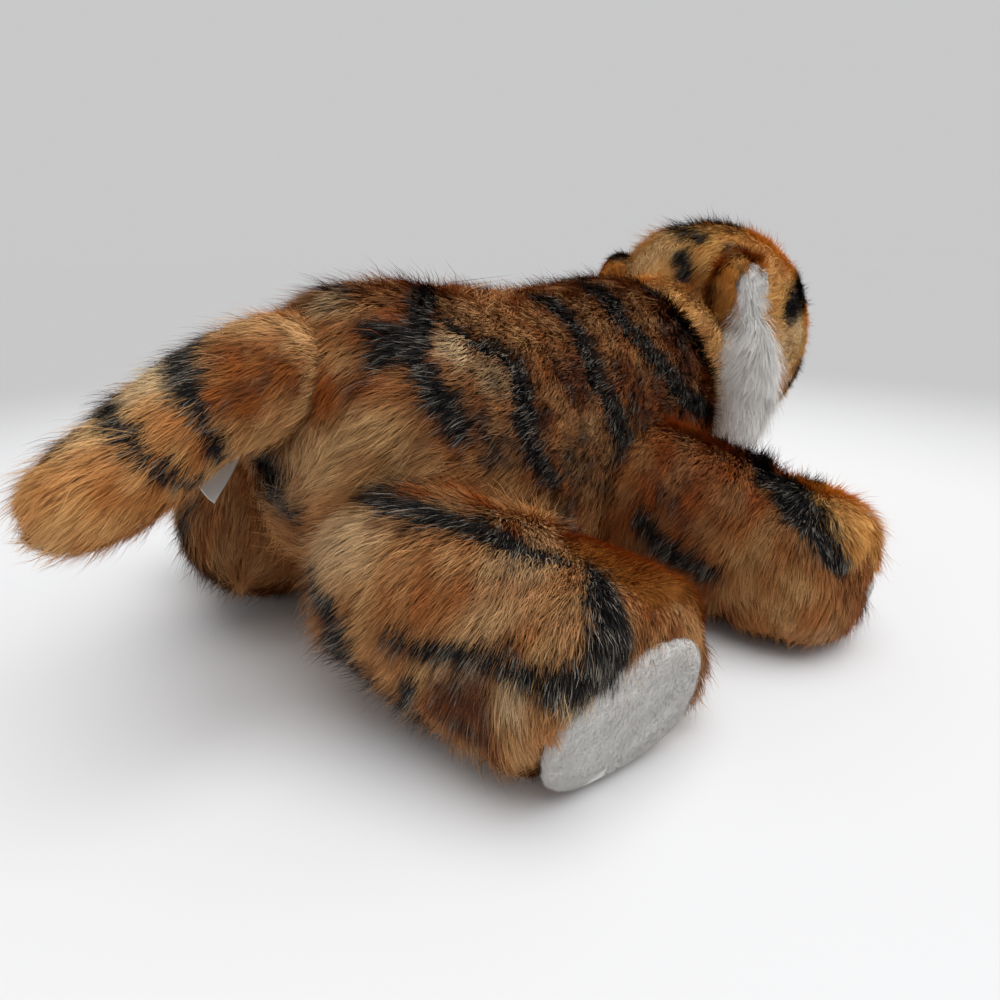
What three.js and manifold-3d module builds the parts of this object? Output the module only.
// Plush tiger lying on its belly with its legs splayed, sewn from separately stuffed pieces.
// Millimetres, +Z up, the head towards -Y, the tail towards +Y, the animal's right side towards -X.
// The pieces are laid out from a point on the floor between the hips. At the end the whole toy is shifted,
// so that its origin is the middle of its footprint, on the floor.

import * as THREE from 'three';
import { mergeVertices } from 'three/addons/utils/BufferGeometryUtils.js';
import Module from 'manifold-3d';

// Clearances shared by all pieces
const seamGap = 0.3;
const swingGap = 3;
const restFlat = 0.5;
const cutOverrun = 60;

// Trunk: one long stuffed shell, high at the rump and the shoulders, with a slight dip between them
const trunkRearY = 55;
const trunkLength = 298;
const trunkHalfWidth = 70;
const trunkHeight = 167;

// Belly panel: the pale cloth let into the underside
const bellyPanelThickness = 5;
const bellyPanelWidth = 84;
const bellyPanelLength = 170;
const bellyPanelRearY = -14;
const bellyPanelRise = 15;

// Head: a broad round shell, its back close to the shoulders
const headBackY = -231;
const headLength = 130;
const headHalfWidth = 68;
const headTopZ = 199;
const headBottomZ = 57;

// Neck: the stuffed ball behind the head that sits in the dish of the trunk
const neckBallRadius = 48;
const neckSunk = 3;
const neckZ = 118;
const headTurnDegrees = 18;

// Muzzle and chin: small pale cushions sewn onto the face
const muzzleRiseShare = 0.3;
const muzzleHalfWidth = 33;
const muzzleHalfHeight = 21;
const muzzleHalfDepth = 25;
const muzzleSunk = 8;
const muzzleCleft = 5;
const chinRiseShare = 0.13;
const chinHalfWidth = 19;
const chinHalfHeight = 12;
const chinHalfDepth = 21;
const chinSunk = 4;

// Nose: a moulded button on a shank, locked by a washer inside the muzzle
const noseRiseShare = 0.375;
const noseHalfWidth = 9.5;
const noseHalfHeight = 6.5;
const noseHalfDepth = 5;
const noseTiltDegrees = 12;

// Eyes: moulded domes on shanks, locked by washers inside the head
const eyeX = 27;
const eyeRiseShare = 0.57;
const eyeRadius = 7.5;
const eyeDomeHeight = 5.5;
const eyeTurnDegrees = 27;
const eyeTiltDegrees = 14;

// Shank and washer of a moulded part
const shankRadius = 2.2;
const shankLength = 13;
const washerRadius = 7;
const washerThickness = 1.6;
const washerDepth = 8;

// Ears: thick round flaps on the upper sides of the head, with a pale lining in front
const earX = 45;
const earSetback = 22;
const earRise = -6;
const earHalfWidth = 21;
const earHalfHeight = 24;
const earHalfThickness = 9;
const earTurnDegrees = 94;
const earLeanDegrees = 12;
const liningHalfWidth = 17;
const liningHalfHeight = 19;
const liningHalfThickness = 4;
const liningRise = 1;

// Cheek ruffs: long white tufts hanging from below the ears
const ruffSetback = 29;
const ruffSunk = 7;
const ruffZ = 107;
const ruffHalfWidth = 25;
const ruffHalfHeight = 48;
const ruffHalfThickness = 16;

// Hind legs: thick tubes splayed to the sides, each ending in a foot
const hipX = 60;
const hipY = 30;
const hipZ = 57;
const hipBallRadius = 38;
const hindFootRightX = 153;
const hindFootRightY = 5;
const hindFootLeftX = 149;
const hindFootLeftY = -7;
const hindFootRadius = 36;
const hindHalfThickness = 42;
const hindSwingDegrees = 14;

// Forelegs: slightly thinner tubes, splayed to the sides and a little forward
const shoulderX = 66;
const shoulderY = -121;
const shoulderZ = 60;
const shoulderBallRadius = 36;
const forePawX = 175;
const forePawY = -144;
const forePawRadius = 38;
const foreHalfThickness = 38;
const foreSwingDegrees = 14;

// Soles: short white plush, oval, sewn into the ends of the feet
const hindSoleHalfWidth = 38;
const hindSoleHalfHeight = 27;
const foreSoleHalfWidth = 26;
const foreSoleHalfHeight = 20;
const soleThickness = 7;
const soleSeat = 4.5;
const soleEdgeRadius = 3;
const soleCrown = 2;
const soleSquarenessShare = 0.72;
const hindSoleShift = 3;
const foreSoleShift = 0;
const hindSoleDipDegrees = 12;
const foreSoleDipDegrees = 34;
const hindSoleTurnDegrees = 8;
const foreSoleTurnDegrees = -62;

// Instep panels: short orange plush let into the front of each foot, beside the sole
const instepThickness = 5;
const instepLength = 46;
const instepWidth = 50;
const instepSetback = 3;
const hindInstepTurnDegrees = 44;
const foreInstepTurnDegrees = 66;

// Tail: a short stuffed tube held out behind, drooping a little
const tailRootY = 48;
const tailRootZ = 134;
const tailTipX = -8;
const tailTipY = 148;
const tailTipZ = 100;
const tailHalfThickness = 20;
const tailBallRadius = 23;
const tailWagDegrees = 20;

// Sewn-in label: a bare ribbon held in the seam under the tail, turned to the animal's right
const labelWidth = 12;
const labelLength = 16;
const labelThickness = 1;
const labelX = 0;
const labelY = 74;
const labelHangShares = [-0.1, 0.66, -0.74];
const labelFacingShares = [-0.85, 0.44, 0.27];

// Fineness of the forms
const trunkSteps = 18;
const trunkSides = 20;
const limbSteps = 12;
const limbSides = 16;
const smallSteps = 7;
const smallSides = 12;
const ballSegments = 20;
const ballRings = 8;
const cutterSteps = 12;
const cutterSides = 16;

// Rows of shares: how far along, half width, top and bottom of the section
const trunkShares = [
  [0, 0, 0.62, 0.62],
  [0.014, 0.3, 0.79, 0.45],
  [0.055, 0.66, 0.92, 0.3],
  [0.15, 0.9, 1, 0.1],
  [0.3, 1, 0.98, 0],
  [0.46, 1, 0.945, 0],
  [0.62, 1, 0.965, 0],
  [0.77, 0.93, 0.985, 0],
  [0.885, 0.76, 0.93, 0.09],
  [0.965, 0.45, 0.82, 0.28],
  [1, 0, 0.58, 0.58],
];
const headShares = [
  [0, 0, 0.52, 0.52],
  [0.03, 0.36, 0.73, 0.31],
  [0.12, 0.7, 0.88, 0.13],
  [0.3, 0.95, 0.99, 0.02],
  [0.5, 1, 1, 0],
  [0.68, 0.94, 0.95, 0.01],
  [0.84, 0.74, 0.83, 0.06],
  [0.95, 0.46, 0.69, 0.16],
  [1, 0, 0.42, 0.42],
];

// Rows of shares: how far along, how far the path has dropped and swung forwards, half width, height above
// and depth below
const hindShares = [
  [0.02, 0, 0.9, 0.9, 0.9],
  [0.28, 0.62, 1.06, 1, 1],
  [0.52, 0.93, 1.12, 0.97, 0.97],
  [0.76, 1, 1.15, 0.92, 0.95],
  [0.93, 1, 1.14, 0.87, 0.95],
  [0.99, 1, 0.98, 0.7, 0.8],
  [1, 1, 0, 0, 0],
];
const foreShares = [
  [0.02, 0, 0.92, 0.92, 0.92],
  [0.28, 0.55, 1, 1, 1],
  [0.5, 0.9, 0.98, 0.96, 1],
  [0.72, 1, 1.02, 0.9, 1],
  [0.88, 1, 0.98, 0.82, 0.97],
  [0.975, 1, 0.66, 0.54, 0.66],
  [1, 1, 0, 0, 0],
];
const tailShares = [
  [0.02, 0, 1.08, 1.08, 1.08],
  [0.25, 0.14, 0.98, 0.98, 1],
  [0.5, 0.45, 0.95, 0.9, 0.95],
  [0.76, 0.82, 0.84, 0.76, 0.84],
  [0.93, 0.97, 0.62, 0.56, 0.6],
  [1, 1, 0, 0, 0],
];

const wasm = await Module();
wasm.setup();

const X = new THREE.Vector3(1, 0, 0);
const Y = new THREE.Vector3(0, 1, 0);
const Z = new THREE.Vector3(0, 0, 1);
const radians = THREE.MathUtils.degToRad;

// Solids and booleans

function solidOf(geometry) {
  const bare = geometry.clone();
  bare.deleteAttribute('normal');
  bare.deleteAttribute('uv');
  const welded = mergeVertices(bare);
  const mesh = new wasm.Mesh({
    numProp: 3,
    vertProperties: new Float32Array(welded.attributes.position.array),
    triVerts: new Uint32Array(welded.index.array),
  });
  return new wasm.Manifold(mesh);
}

function geometryOf(solid) {
  const mesh = solid.getMesh();
  const geometry = new THREE.BufferGeometry();
  geometry.setAttribute('position', new THREE.BufferAttribute(new Float32Array(mesh.vertProperties), 3));
  geometry.setIndex(new THREE.BufferAttribute(new Uint32Array(mesh.triVerts), 1));
  geometry.computeVertexNormals();
  return geometry;
}

// A cut can leave thin scraps beside the piece. Only the piece itself is kept.
function withoutScraps(solid) {
  const parts = solid.decompose();
  parts.sort((a, b) => b.volume() - a.volume());
  return parts[0];
}

// The signed volume is negative where a skin is inside out, so its triangles are turned round.
function facingOut(positions, faces) {
  let volume = 0;
  const [a, b, c] = [new THREE.Vector3(), new THREE.Vector3(), new THREE.Vector3()];
  for (let i = 0; i < faces.length; i += 3) {
    a.fromArray(positions, 3 * faces[i]);
    b.fromArray(positions, 3 * faces[i + 1]);
    c.fromArray(positions, 3 * faces[i + 2]);
    volume += a.dot(b.cross(c));
  }
  if (volume < 0) {
    for (let i = 0; i < faces.length; i += 3) {
      [faces[i], faces[i + 1]] = [faces[i + 1], faces[i]];
    }
  }
  const geometry = new THREE.BufferGeometry();
  geometry.setAttribute('position', new THREE.BufferAttribute(new Float32Array(positions), 3));
  geometry.setIndex(faces);
  return geometry;
}

// A skin through rings of points, closed by a single point at each end
function skinThrough(rings, firstPoint, lastPoint) {
  const positions = [];
  const faces = [];
  const sides = rings[0].length;
  for (const ring of rings) {
    for (const point of ring) {
      positions.push(point.x, point.y, point.z);
    }
  }
  const first = rings.length * sides;
  const last = first + 1;
  positions.push(firstPoint.x, firstPoint.y, firstPoint.z);
  positions.push(lastPoint.x, lastPoint.y, lastPoint.z);
  for (let j = 0; j < sides; j += 1) {
    const k = (j + 1) % sides;
    faces.push(first, k, j);
    faces.push(last, first - sides + j, first - sides + k);
    for (let i = 0; i + 1 < rings.length; i += 1) {
      const low = i * sides;
      const high = low + sides;
      faces.push(low + j, low + k, high + k, low + j, high + k, high + j);
    }
  }
  return facingOut(positions, faces);
}

// A stuffed form swells and tapers along its stations. Each station has a centre, a half width and how far the
// section reaches above and below the centre. A ring is an ellipse that is a little squarer than a true one.
// Growth makes the same form larger all round, for a cut that leaves a gap, or smaller, for an inner core.
const sectionSquarenessShare = 0.92;

function stuffedForm(stations, steps, sides, side, growth = 0, axis = null) {
  const columns = stations.map((s) => [s.centre.x, s.centre.y, s.centre.z, s.across, s.above, s.below]);
  const times = new Float32Array(stations.map((_, i) => i));
  const spline = new THREE.CubicInterpolant(times, new Float32Array(columns.flat()), columns[0].length);
  const lastTime = stations.length - 1;
  const centreAt = (t) => new THREE.Vector3().fromArray(spline.evaluate(t));
  const whole = centreAt(lastTime).sub(centreAt(0)).normalize();
  const startsRound = stations[0].across > 0;
  const rings = [];
  for (let i = startsRound ? 0 : 1; i < steps; i += 1) {
    const t = (lastTime * i) / steps;
    const [cx, cy, cz, across, above, below] = Array.from(spline.evaluate(t));
    const nearby = 1 / steps;
    const ahead = centreAt(Math.min(t + nearby, lastTime)).sub(centreAt(Math.max(t - nearby, 0))).normalize();
    const along = axis ?? ahead;
    const up = new THREE.Vector3().crossVectors(side, along).normalize();
    if (up.z < 0) {
      up.negate();
    }
    const out = new THREE.Vector3().crossVectors(up, along).normalize();
    const centre = new THREE.Vector3(cx, cy, cz).addScaledVector(whole, growth * ((2 * i) / steps - 1));
    const halves = [across + growth, above + growth, below + growth];
    rings.push(ringAround(centre, out, up, halves, sides, sectionSquarenessShare));
  }
  const start = startsRound ? ringMiddle(rings[0]) : centreAt(0).addScaledVector(whole, -growth);
  return skinThrough(rings, start, centreAt(lastTime).addScaledVector(whole, growth));
}

function ringAround(centre, out, up, [across, above, below], sides, squarenessShare) {
  const ring = [];
  for (let j = 0; j < sides; j += 1) {
    const angle = (2 * Math.PI * j) / sides;
    const c = Math.cos(angle);
    const s = Math.sin(angle);
    const width = across * Math.sign(c) * Math.abs(c) ** squarenessShare;
    const height = (s > 0 ? above : below) * Math.sign(s) * Math.abs(s) ** squarenessShare;
    ring.push(centre.clone().addScaledVector(out, width).addScaledVector(up, height));
  }
  return ring;
}

function ringMiddle(ring) {
  const middle = new THREE.Vector3();
  for (const point of ring) {
    middle.add(point);
  }
  return middle.divideScalar(ring.length);
}

// An egg: a sphere with its own half size along each axis of a placed frame
function egg(placed, halfX, halfY, halfZ, segments = smallSides, rings = smallSteps) {
  const geometry = new THREE.SphereGeometry(1, segments, rings);
  geometry.scale(halfX, halfY, halfZ);
  geometry.applyMatrix4(placed);
  return solidOf(geometry);
}

function ball(centre, radius) {
  const geometry = new THREE.SphereGeometry(radius, ballSegments, ballRings);
  geometry.rotateX(Math.PI / 2);
  geometry.translate(centre.x, centre.y, centre.z);
  return solidOf(geometry);
}

// The dish for a ball is wide enough that its flat facets stay clear of the ball at every angle of a turn
// about the upright axis through its poles.
function dish(centre, radius, gap) {
  const facetShrink = Math.cos(Math.PI / ballSegments);
  return ball(centre, (radius + gap) / facetShrink);
}

// A block from its size, standing on its own middle, in a placed frame
function block(placed, width, depth, height) {
  const geometry = new THREE.BoxGeometry(width, depth, height);
  geometry.applyMatrix4(placed);
  return solidOf(geometry);
}

function rod(placed, radius, length) {
  const geometry = new THREE.CylinderGeometry(radius, radius, length, smallSides);
  geometry.rotateX(Math.PI / 2);
  geometry.applyMatrix4(placed);
  return solidOf(geometry);
}

// A frame at a place: turned about Z, then leaned about its own X, then tipped about its own Y
function placedAt(point, turnDegrees = 0, leanDegrees = 0, tipDegrees = 0) {
  const turned = new THREE.Matrix4().makeRotationZ(radians(turnDegrees));
  const leaned = new THREE.Matrix4().makeRotationX(radians(leanDegrees));
  const tipped = new THREE.Matrix4().makeRotationY(radians(tipDegrees));
  const moved = new THREE.Matrix4().makeTranslation(point.x, point.y, point.z);
  return moved.multiply(turned).multiply(leaned).multiply(tipped);
}

function stepped(placed, x, y, z) {
  return placed.clone().multiply(new THREE.Matrix4().makeTranslation(x, y, z));
}

function at(x, y, z) {
  return new THREE.Vector3(x, y, z);
}

// The place on a form's surface that a straight line meets first, coming from outside
function seatOn(geometry, from, direction) {
  const target = new THREE.Mesh(geometry, new THREE.MeshBasicMaterial({ side: THREE.DoubleSide }));
  const hits = new THREE.Raycaster(from, direction).intersectObject(target);
  return hits[0].point;
}

// Everything below the floor is flattened away.
function flattened(solid) {
  const size = trunkLength + 4 * cutOverrun;
  const below = placedAt(at(0, trunkRearY - trunkLength / 2, -cutOverrun / 2));
  return solid.subtract(block(below, size, 2 * size, cutOverrun));
}

// The solid turned about a vertical axis through a pivot
function turnedAbout(solid, pivot, degrees) {
  return solid
    .translate([-pivot.x, -pivot.y, -pivot.z])
    .rotate([0, 0, degrees])
    .translate([pivot.x, pivot.y, pivot.z]);
}

// A limb is cut by a coarser and slightly larger copy of the piece that carries it, at rest and at both ends
// of its swing, so that it never meets it. The ball at its root is added after the cut, because the dish in
// the larger piece leaves room for it.
function clearedThroughSwing(limb, carrier, pivot, degrees) {
  let cleared = limb;
  for (const share of [-1, 0, 1]) {
    cleared = cleared.subtract(turnedAbout(carrier, pivot, share * degrees));
  }
  return cleared;
}

// Trunk

function trunkStations() {
  return trunkShares.map(([along, across, top, bottom]) => ({
    centre: at(0, trunkRearY - along * trunkLength, (trunkHeight * (top + bottom)) / 2 - restFlat),
    across: across * trunkHalfWidth,
    above: (trunkHeight * (top - bottom)) / 2,
    below: (trunkHeight * (top - bottom)) / 2,
  }));
}

function trunkSkin(growth, steps = trunkSteps, sides = trunkSides) {
  return stuffedForm(trunkStations(), steps, sides, X, growth, Y);
}

function trunkForm(growth, steps = trunkSteps, sides = trunkSides) {
  return solidOf(trunkSkin(growth, steps, sides));
}

const pivots = {
  neck: at(0, headBackY + neckSunk, neckZ),
  tail: at(0, tailRootY, tailRootZ),
};
const sidesOfAnimal = [
  ['right', -1],
  ['left', 1],
];
for (const [word, side] of sidesOfAnimal) {
  pivots[`hip_${word}`] = at(side * hipX, hipY, hipZ);
  pivots[`shoulder_${word}`] = at(side * shoulderX, shoulderY, shoulderZ);
}
const ballRadii = {
  neck: neckBallRadius,
  tail: tailBallRadius,
  hip_right: hipBallRadius,
  hip_left: hipBallRadius,
  shoulder_right: shoulderBallRadius,
  shoulder_left: shoulderBallRadius,
};

function withDishes(trunk, gap) {
  let dished = trunk;
  for (const [name, pivot] of Object.entries(pivots)) {
    dished = dished.subtract(dish(pivot, ballRadii[name], gap));
  }
  return dished;
}

function bellyRegion(inset) {
  const middle = placedAt(at(0, bellyPanelRearY - bellyPanelLength / 2, bellyPanelRise / 2 - cutOverrun / 2));
  const height = bellyPanelRise + cutOverrun - 2 * inset;
  return block(middle, bellyPanelWidth - 2 * inset, bellyPanelLength - 2 * inset, height);
}

const trunkWhole = withDishes(trunkForm(0), seamGap);
const trunkCutter = trunkForm(swingGap, cutterSteps, cutterSides);
const bellyRecess = bellyRegion(0).subtract(trunkForm(-bellyPanelThickness));
const bellyInner = trunkForm(seamGap - bellyPanelThickness);
const trunk = flattened(trunkWhole.subtract(bellyRecess));
const bellyPanel = flattened(trunkWhole.intersect(bellyRegion(seamGap)).subtract(bellyInner));

// Head, with its neck ball, and what is sewn onto the face

const faceY = headBackY - 2 * headLength;
const headHeight = headTopZ - headBottomZ;
const muzzleZ = headBottomZ + muzzleRiseShare * headHeight;
const chinZ = headBottomZ + chinRiseShare * headHeight;
const noseZ = headBottomZ + noseRiseShare * headHeight;
const eyeZ = headBottomZ + eyeRiseShare * headHeight;

function headForm(growth) {
  return solidOf(headSkin(growth));
}

function headSkin(growth) {
  const stations = headShares.map(([along, across, top, bottom]) => ({
    centre: at(0, headBackY - along * headLength, headBottomZ + (headHeight * (top + bottom)) / 2),
    across: across * headHalfWidth,
    above: (headHeight * (top - bottom)) / 2,
    below: (headHeight * (top - bottom)) / 2,
  }));
  return stuffedForm(stations, trunkSteps, trunkSides, X, growth, Y);
}

const headSurface = headSkin(0);

// The pocket and bore that a shank and its washer need
function shankRoom(placed) {
  const bore = rod(stepped(placed, 0, 0, -shankLength / 2), shankRadius + seamGap, shankLength + 2 * seamGap);
  const pocketHeight = washerThickness + 2 * seamGap;
  const pocket = rod(stepped(placed, 0, 0, -washerDepth), washerRadius + seamGap, pocketHeight);
  return bore.add(pocket);
}

function shank(placed) {
  return rod(stepped(placed, 0, 0, -shankLength / 2 + seamGap), shankRadius, shankLength - seamGap);
}

function washer(placed) {
  const middle = stepped(placed, 0, 0, -washerDepth);
  return rod(middle, washerRadius, washerThickness).subtract(rod(middle, shankRadius + seamGap, 2 * washerDepth));
}

function eyeFrame(side) {
  const seat = seatOn(headSurface, at(side * eyeX, faceY, eyeZ), Y);
  return placedAt(seat, side * eyeTurnDegrees, 90 - eyeTiltDegrees);
}

// The back of the dome is cut to the face, so the eye sits on the cloth.
function eye(side, face) {
  const frame = eyeFrame(side);
  const dome = egg(frame, eyeRadius, eyeRadius, eyeDomeHeight).subtract(face);
  return dome.add(shank(frame));
}

// Two whisker pads side by side, with the bridge of the nose over them
const padSpreadShare = 0.42;
const padWidthShare = 0.59;
const bridgeWidthShare = 0.5;
const bridgeHeightShare = 0.84;

function muzzleForm(growth) {
  const seat = seatOn(headSurface, at(0, faceY, muzzleZ), Y);
  const middle = seat.addScaledVector(Y, muzzleSunk);
  const depth = muzzleHalfDepth + growth;
  const pad = (side) => {
    const place = placedAt(middle.clone().addScaledVector(X, side * padSpreadShare * muzzleHalfWidth));
    return egg(place, padWidthShare * muzzleHalfWidth + growth, depth, muzzleHalfHeight + growth);
  };
  const bridgeWidth = bridgeWidthShare * muzzleHalfWidth + growth;
  const bridgeHeight = bridgeHeightShare * muzzleHalfHeight + growth;
  const bridge = egg(placedAt(middle.clone().addScaledVector(Z, muzzleCleft)), bridgeWidth, depth, bridgeHeight);
  return pad(-1).add(pad(1)).add(bridge);
}

const muzzleWhole = muzzleForm(0);
const noseSeat = seatOn(geometryOf(muzzleWhole), at(0, faceY, noseZ), Y);
const noseFrame = placedAt(noseSeat, 0, 90 - noseTiltDegrees);

function chinForm() {
  const seat = seatOn(headSurface, at(0, faceY, chinZ), Y);
  return egg(placedAt(seat.addScaledVector(Y, chinSunk)), chinHalfWidth, chinHalfDepth, chinHalfHeight);
}

function earForm(side, growth) {
  const seat = seatOn(headSurface, at(side * earX, headBackY - earSetback, 2 * headTopZ), Z.clone().negate());
  const middle = seat.addScaledVector(Z, earRise);
  const frame = placedAt(middle, side * earTurnDegrees, 0, side * earLeanDegrees);
  return [frame, egg(frame, earHalfWidth + growth, earHalfThickness + growth, earHalfHeight + growth)];
}

function liningForm(frame, growth) {
  const front = stepped(frame, 0, -earHalfThickness, liningRise);
  const [w, h] = [liningHalfWidth + growth, liningHalfHeight + growth];
  return egg(front, w, liningHalfThickness + growth, h);
}

function ruffForm(side) {
  const seat = seatOn(headSurface, at(2 * side * headHalfWidth, headBackY - ruffSetback, ruffZ), X.clone().multiplyScalar(-side));
  const frame = placedAt(seat.addScaledVector(X, -side * ruffSunk));
  return egg(frame, ruffHalfThickness, ruffHalfWidth, ruffHalfHeight);
}

const headGrown = headForm(seamGap);
const neckGrown = ball(pivots.neck, neckBallRadius + seamGap);
let head = clearedThroughSwing(headForm(0), trunkCutter, pivots.neck, headTurnDegrees);
head = head.add(ball(pivots.neck, neckBallRadius).subtract(frontOfNeck()));
head = head.subtract(shankRoom(eyeFrame(-1))).subtract(shankRoom(eyeFrame(1)));

// Only the back half of the ball is needed; the front half would stand out of the throat.
function frontOfNeck() {
  const y = headBackY - headLength / 2;
  return block(placedAt(at(0, y - cutOverrun, neckZ)), 4 * cutOverrun, 2 * cutOverrun, 4 * cutOverrun);
}

// A ruff is cut to what lies under it: the head, the neck, and the lower edge of the ear with its lining.
function ruff(side) {
  const [frame, earGrown] = earForm(side, seamGap);
  const whole = ruffForm(side).subtract(headGrown).subtract(neckGrown);
  return whole.subtract(earGrown).subtract(liningForm(frame, seamGap));
}

const muzzle = muzzleWhole.subtract(headGrown).subtract(shankRoom(noseFrame));
const muzzleGrown = muzzleForm(seamGap);
const chin = chinForm().subtract(headGrown).subtract(muzzleGrown);
const nose = egg(noseFrame, noseHalfWidth, noseHalfHeight, noseHalfDepth).subtract(muzzleGrown).add(shank(noseFrame));

// Legs: a path from the pivot to the end of the foot, with the foot resting on the floor

function legStations(side, kind, half) {
  const [root, tip] = [kind.root, kind.tips[side]];
  return kind.shares.map(([along, drop, across, above, below]) => ({
    centre: at(
      side * (root.x + (tip.x - root.x) * along),
      root.y + (tip.y - root.y) * drop,
      root.z + (tip.z - root.z) * drop,
    ),
    across: across * half,
    above: above * half,
    below: below * half,
  }));
}

const legKinds = [
  {
    name: 'hindleg',
    joint: 'hip',
    shares: hindShares,
    root: at(hipX, hipY, hipZ),
    tips: {
      [-1]: at(hindFootRightX, hindFootRightY, hindFootRadius - restFlat),
      1: at(hindFootLeftX, hindFootLeftY, hindFootRadius - restFlat),
    },
    half: hindHalfThickness,
    ballRadius: hipBallRadius,
    swing: hindSwingDegrees,
    sole: [hindSoleHalfWidth, hindSoleHalfHeight, hindSoleDipDegrees, hindSoleTurnDegrees, hindSoleShift],
    instepTurn: hindInstepTurnDegrees,
    footRadius: hindFootRadius,
  },
  {
    name: 'foreleg',
    joint: 'shoulder',
    shares: foreShares,
    root: at(shoulderX, shoulderY, shoulderZ),
    tips: {
      [-1]: at(forePawX, forePawY, forePawRadius - restFlat),
      1: at(forePawX, forePawY, forePawRadius - restFlat),
    },
    half: foreHalfThickness,
    ballRadius: shoulderBallRadius,
    swing: foreSwingDegrees,
    sole: [foreSoleHalfWidth, foreSoleHalfHeight, foreSoleDipDegrees, foreSoleTurnDegrees, foreSoleShift],
    instepTurn: foreInstepTurnDegrees,
    footRadius: forePawRadius,
  },
];

function legForm(kind, side, growth) {
  const stations = legStations(side, kind, kind.half);
  return solidOf(stuffedForm(stations, limbSteps, limbSides, Y, growth));
}

// The direction in which a foot points, straight out to the side, and the end of the foot
function footEnd(kind, side) {
  const tip = kind.tips[side];
  return { outward: X.clone().multiplyScalar(side), centre: at(side * tip.x, tip.y, tip.z) };
}

// The frame of a foot's end: its X runs across the sole, its Y out of the foot, its Z up
function soleFrame(kind, side) {
  const dip = radians(kind.sole[2]);
  const { outward, centre } = footEnd(kind, side);
  const footMiddle = centre.clone().addScaledVector(outward, -kind.footRadius).addScaledVector(Y, kind.sole[4]);
  outward.applyAxisAngle(Z, side * radians(kind.sole[3]));
  const facing = outward.clone().multiplyScalar(Math.cos(dip)).addScaledVector(Z, -Math.sin(dip));
  const across = new THREE.Vector3().crossVectors(facing, Z).normalize();
  const up = new THREE.Vector3().crossVectors(across, facing).normalize();
  const frame = new THREE.Matrix4().makeBasis(across, facing, up);
  return frame.setPosition(footMiddle.addScaledVector(facing, kind.footRadius + soleThickness - soleSeat));
}

// A sole is a pad with a rounded outline, a rounded edge and a slight crown. Each ring of its skin is drawn in
// from the outline and lies at its own height.
function soleForm(kind, side) {
  const halfHeight = kind.sole[1];
  return padThrough(kind, side, [
    [0, -soleThickness],
    [0, -soleEdgeRadius],
    [soleEdgeRadius, 0],
    [halfHeight / 2, (3 * soleCrown) / 4],
    [halfHeight, soleCrown],
  ]);
}

// The seat of a sole is its outline, open to the outside.
function soleSeatForm(kind, side) {
  return padThrough(kind, side, [
    [-seamGap, -soleThickness - seamGap],
    [-seamGap, cutOverrun],
    [kind.sole[1], cutOverrun],
  ]);
}

// The last ring is drawn in to a point.
function padThrough(kind, side, heights) {
  const [halfWidth, halfHeight] = kind.sole;
  const [across, facing, up] = [new THREE.Vector3(), new THREE.Vector3(), new THREE.Vector3()];
  const frame = soleFrame(kind, side);
  frame.extractBasis(across, facing, up);
  const middle = new THREE.Vector3().setFromMatrixPosition(frame);
  const placed = heights.map(([drawnIn, height]) => {
    const [width, rise] = [halfWidth - drawnIn, halfHeight - drawnIn];
    const centre = middle.clone().addScaledVector(facing, height);
    return ringAround(centre, across, up, [width, rise, rise], limbSides, soleSquarenessShare);
  });
  const last = ringMiddle(placed.pop());
  return solidOf(skinThrough(placed, ringMiddle(placed[0]), last));
}

// The instep panel lies over the front of the foot, between the sole and the ankle.
function instepRegion(kind, side, inset) {
  const { outward, centre } = footEnd(kind, side);
  const turn = radians(kind.instepTurn);
  const facing = Y.clone().multiplyScalar(-Math.cos(turn)).addScaledVector(Z, Math.sin(turn));
  const across = new THREE.Vector3().crossVectors(outward, facing).normalize();
  centre.addScaledVector(outward, -instepSetback - instepLength / 2);
  centre.addScaledVector(facing, kind.half);
  const frame = new THREE.Matrix4().makeBasis(outward, across, new THREE.Vector3().crossVectors(outward, across));
  frame.setPosition(centre);
  return block(frame, instepLength - 2 * inset, instepWidth - 2 * inset, 2 * kind.half - 2 * inset);
}

function legPieces(kind, side, word) {
  const pivot = pivots[`${kind.joint}_${word}`];
  const seat = soleSeatForm(kind, side);
  const outer = flattened(legForm(kind, side, 0)).subtract(seat);
  const recess = instepRegion(kind, side, 0).subtract(legForm(kind, side, -instepThickness));
  const innerCore = legForm(kind, side, seamGap - instepThickness);
  const instep = outer.intersect(instepRegion(kind, side, seamGap)).subtract(innerCore);
  let leg = clearedThroughSwing(outer, trunkCutter, pivot, kind.swing);
  leg = flattened(leg.add(ball(pivot, kind.ballRadius))).subtract(recess);
  const sole = flattened(soleForm(kind, side));
  return { leg, instep, sole };
}

// Tail

function tailSkin(growth) {
  const stations = tailShares.map(([along, drop, across, above, below]) => ({
    centre: at(
      tailTipX * drop,
      tailRootY + (tailTipY - tailRootY) * along,
      tailRootZ + (tailTipZ - tailRootZ) * drop,
    ),
    across: across * tailHalfThickness,
    above: above * tailHalfThickness,
    below: below * tailHalfThickness,
  }));
  return stuffedForm(stations, limbSteps, limbSides, X, growth);
}

const tail = clearedThroughSwing(solidOf(tailSkin(0)), trunkCutter, pivots.tail, tailWagDegrees).add(
  ball(pivots.tail, tailBallRadius),
);

// Label: a flat ribbon that hangs out of the seam under the tail

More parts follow.
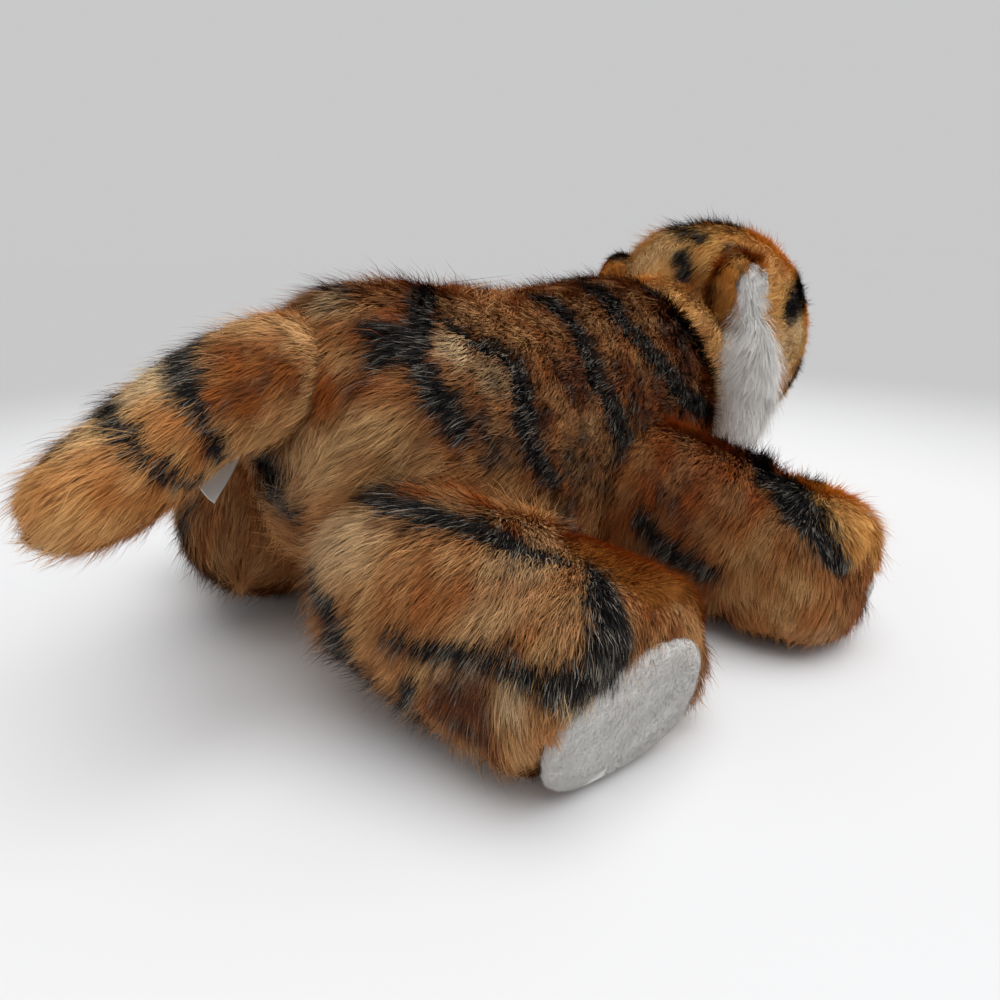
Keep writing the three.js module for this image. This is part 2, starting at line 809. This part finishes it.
function labelForm() {
  const seat = seatOn(tailSkin(0), at(labelX, labelY, 0), Z);
  const hang = at(...labelHangShares).normalize();
  const across = new THREE.Vector3().crossVectors(hang, at(...labelFacingShares)).normalize();
  const facing = new THREE.Vector3().crossVectors(across, hang).normalize();
  const frame = new THREE.Matrix4().makeBasis(across, hang, facing).setPosition(seat);
  return block(frame, labelWidth, 2 * labelLength, labelThickness).subtract(solidOf(tailSkin(seamGap)));
}

// Assembly

const group = new THREE.Group();

const cloths = {
  orange: { color: 0xa8672e, roughness: 0.9, metalness: 0 },
  instep: { color: 0xb8601c, roughness: 0.9, metalness: 0 },
  tan: { color: 0xc79a62, roughness: 0.9, metalness: 0 },
  white: { color: 0xe6e2da, roughness: 0.92, metalness: 0 },
  cream: { color: 0xdccdb0, roughness: 0.92, metalness: 0 },
  satin: { color: 0xf2f0ea, roughness: 0.5, metalness: 0 },
  amber: { color: 0x7a4a14, roughness: 0.12, metalness: 0 },
  black: { color: 0x1a1410, roughness: 0.3, metalness: 0 },
  washer: { color: 0xd8d8d4, roughness: 0.5, metalness: 0 },
};

function addPiece(name, solid, cloth) {
  const mesh = new THREE.Mesh(geometryOf(withoutScraps(solid)), new THREE.MeshStandardMaterial(cloths[cloth]));
  mesh.name = name;
  group.add(mesh);
}

addPiece('trunk', trunk, 'orange');
addPiece('belly_panel', bellyPanel, 'cream');
addPiece('head', head, 'orange');
addPiece('muzzle', muzzle, 'white');
addPiece('chin', chin, 'white');
addPiece('nose', nose, 'black');
addPiece('nose_washer', washer(noseFrame), 'washer');
for (const [word, side] of sidesOfAnimal) {
  addPiece(`eye_${word}`, eye(side, headGrown), 'amber');
  addPiece(`eye_washer_${word}`, washer(eyeFrame(side)), 'washer');
  const [frame, ear] = earForm(side, 0);
  const earCut = ear.subtract(headGrown).subtract(liningForm(frame, seamGap));
  addPiece(`ear_${word}`, earCut, 'orange');
  addPiece(`ear_lining_${word}`, liningForm(frame, 0).subtract(headGrown), 'white');
  addPiece(`cheek_ruff_${word}`, ruff(side), 'white');
  for (const kind of legKinds) {
    const pieces = legPieces(kind, side, word);
    addPiece(`${kind.name}_${word}`, pieces.leg, 'orange');
    addPiece(`${kind.name}_instep_${word}`, pieces.instep, 'instep');
    addPiece(`${kind.name}_sole_${word}`, pieces.sole, 'white');
  }
}
addPiece('tail', tail, 'tan');
addPiece('sewn_in_label', labelForm(), 'satin');

// The origin moves to the middle of the footprint.
const bounds = new THREE.Box3().setFromObject(group);
const middle = bounds.getCenter(new THREE.Vector3());
group.position.set(-middle.x, -middle.y, -bounds.min.z);

export default group;
